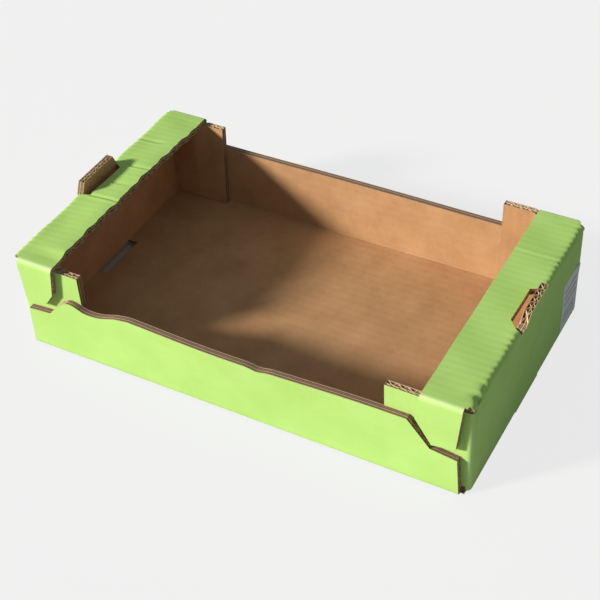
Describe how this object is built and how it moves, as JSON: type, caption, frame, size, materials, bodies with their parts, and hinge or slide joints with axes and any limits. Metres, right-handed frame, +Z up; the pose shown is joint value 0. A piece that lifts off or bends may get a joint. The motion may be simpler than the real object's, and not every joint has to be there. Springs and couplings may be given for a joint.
{
  "type": "cardboard tray box",
  "caption": "Open produce tray folded from double-wall corrugated board, with low long walls, tall ends folded in as shelves, glued corner flaps and stacking tongues.",
  "frame": {"origin": "under the middle of the tray, on the plane it stands on", "axes": "+X along the tray, towards the labelled end; +Y across it, towards the back long wall; +Z up"},
  "size_m": [0.4035, 0.247, 0.1],
  "materials": {
    "folded_tray": "light green print on the outside of brown kraft corrugated board, matt",
    "end_label": "uncoated white paper with plain dark rules"
  },
  "bodies": {
    "root": {"folded_tray": "folded_tray", "end_label": "end_label"}
  },
  "joints": []
}
